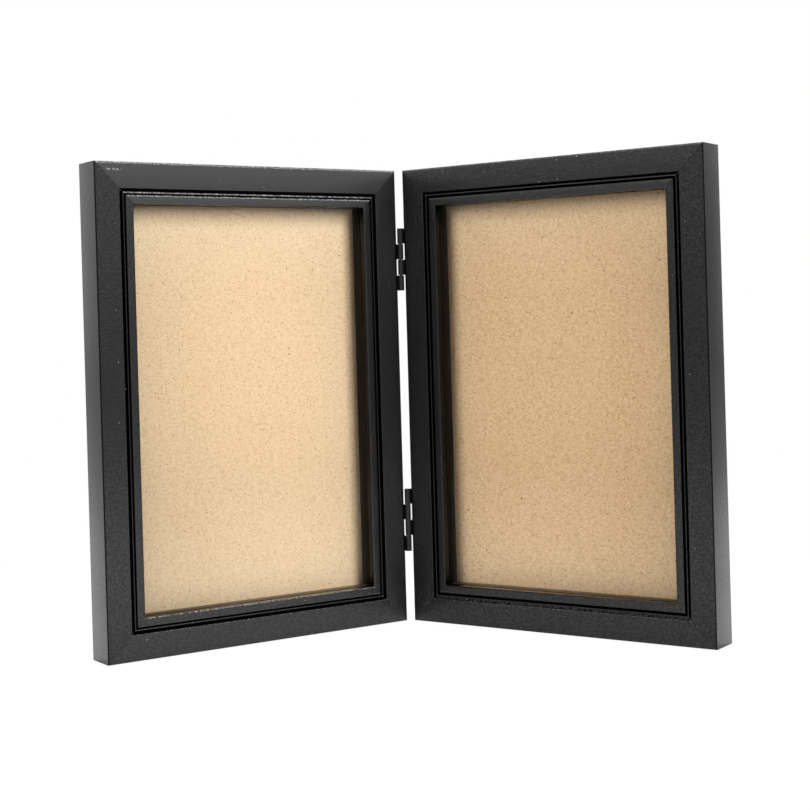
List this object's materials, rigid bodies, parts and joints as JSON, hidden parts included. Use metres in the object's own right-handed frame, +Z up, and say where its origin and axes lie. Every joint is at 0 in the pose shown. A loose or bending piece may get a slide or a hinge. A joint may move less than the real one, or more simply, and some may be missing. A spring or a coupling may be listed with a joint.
{
  "type": "hinged double photo frame",
  "caption": "Two upright black picture frames joined by small butt hinges, standing as an open V, each with a glass pane and a bare tan backboard held by turn buttons.",
  "frame": {"origin": "centre of the footprint's bounding box, on the table", "axes": "+Z up; the two front faces look towards -Y and open as a V; +X to the viewer's right"},
  "size_m": [0.2296, 0.0828, 0.1786],
  "materials": {
    "black_moulding": "satin black wrap with a fine grain",
    "clear_glass": "clear, polished",
    "tan_hardboard": "raw, matte, fine fibres",
    "black_card": "matte",
    "black_metal": "satin black",
    "bright_steel": "bright zinc"
  },
  "bodies": {
    "left_half": {"left_top_rail": "black_moulding", "left_bottom_rail": "black_moulding", "left_outer_stile": "black_moulding", "left_hinge_stile": "black_moulding", "left_pane": "clear_glass", "left_top_spacer": "black_card", "left_bottom_spacer": "black_card", "left_outer_spacer": "black_card", "left_hinge_spacer": "black_card", "left_backboard": "tan_hardboard", "left_v_nails": "bright_steel", "left_button_screws": "bright_steel", "left_hinge_screws": "black_metal", "upper_hinge_left_leaf": "black_metal", "lower_hinge_left_leaf": "black_metal", "upper_hinge_pin": "black_metal", "lower_hinge_pin": "black_metal"},
    "right_half": {"right_top_rail": "black_moulding", "right_bottom_rail": "black_moulding", "right_outer_stile": "black_moulding", "right_hinge_stile": "black_moulding", "right_pane": "clear_glass", "right_top_spacer": "black_card", "right_bottom_spacer": "black_card", "right_outer_spacer": "black_card", "right_hinge_spacer": "black_card", "right_backboard": "tan_hardboard", "right_v_nails": "bright_steel", "right_button_screws": "bright_steel", "right_hinge_screws": "black_metal", "upper_hinge_right_leaf": "black_metal", "lower_hinge_right_leaf": "black_metal"},
    "left_top_button": {"left_top_button": "bright_steel"},
    "left_bottom_button": {"left_bottom_button": "bright_steel"},
    "left_outer_button": {"left_outer_button": "bright_steel"},
    "left_hinge_button": {"left_hinge_button": "bright_steel"},
    "right_top_button": {"right_top_button": "bright_steel"},
    "right_bottom_button": {"right_bottom_button": "bright_steel"},
    "right_outer_button": {"right_outer_button": "bright_steel"},
    "right_hinge_button": {"right_hinge_button": "bright_steel"}
  },
  "joints": [
    {"name": "fold", "type": "hinge", "parent": "left_half", "child": "right_half", "pos_m": [0, 0.02985, 0], "axis": [0, 0, 1], "range_deg": [-111.7, 72]},
    {"name": "left_top_button_turn", "type": "hinge", "parent": "left_half", "child": "left_top_button", "pos_m": [-0.06191, 0.00551, 0.1725], "axis": [-0.5614, 0.8276, 0], "range_deg": [-90, 90]},
    {"name": "left_bottom_button_turn", "type": "hinge", "parent": "left_half", "child": "left_bottom_button", "pos_m": [-0.06191, 0.00551, 0.0061], "axis": [-0.5614, 0.8276, 0], "range_deg": [-90, 90]},
    {"name": "left_outer_button_turn", "type": "hinge", "parent": "left_half", "child": "left_outer_button", "pos_m": [-0.10974, -0.02694, 0.0893], "axis": [-0.5614, 0.8276, 0], "range_deg": [-90, 90]},
    {"name": "left_hinge_button_turn", "type": "hinge", "parent": "left_half", "child": "left_hinge_button", "pos_m": [-0.01407, 0.03795, 0.0893], "axis": [-0.5614, 0.8276, 0], "range_deg": [-90, 90]},
    {"name": "right_top_button_turn", "type": "hinge", "parent": "right_half", "child": "right_top_button", "pos_m": [0.06191, 0.00551, 0.1725], "axis": [0.5614, 0.8276, 0], "range_deg": [-90, 90]},
    {"name": "right_bottom_button_turn", "type": "hinge", "parent": "right_half", "child": "right_bottom_button", "pos_m": [0.06191, 0.00551, 0.0061], "axis": [0.5614, 0.8276, 0], "range_deg": [-90, 90]},
    {"name": "right_outer_button_turn", "type": "hinge", "parent": "right_half", "child": "right_outer_button", "pos_m": [0.10974, -0.02694, 0.0893], "axis": [0.5614, 0.8276, 0], "range_deg": [-90, 90]},
    {"name": "right_hinge_button_turn", "type": "hinge", "parent": "right_half", "child": "right_hinge_button", "pos_m": [0.01407, 0.03795, 0.0893], "axis": [0.5614, 0.8276, 0], "range_deg": [-90, 90]}
  ]
}
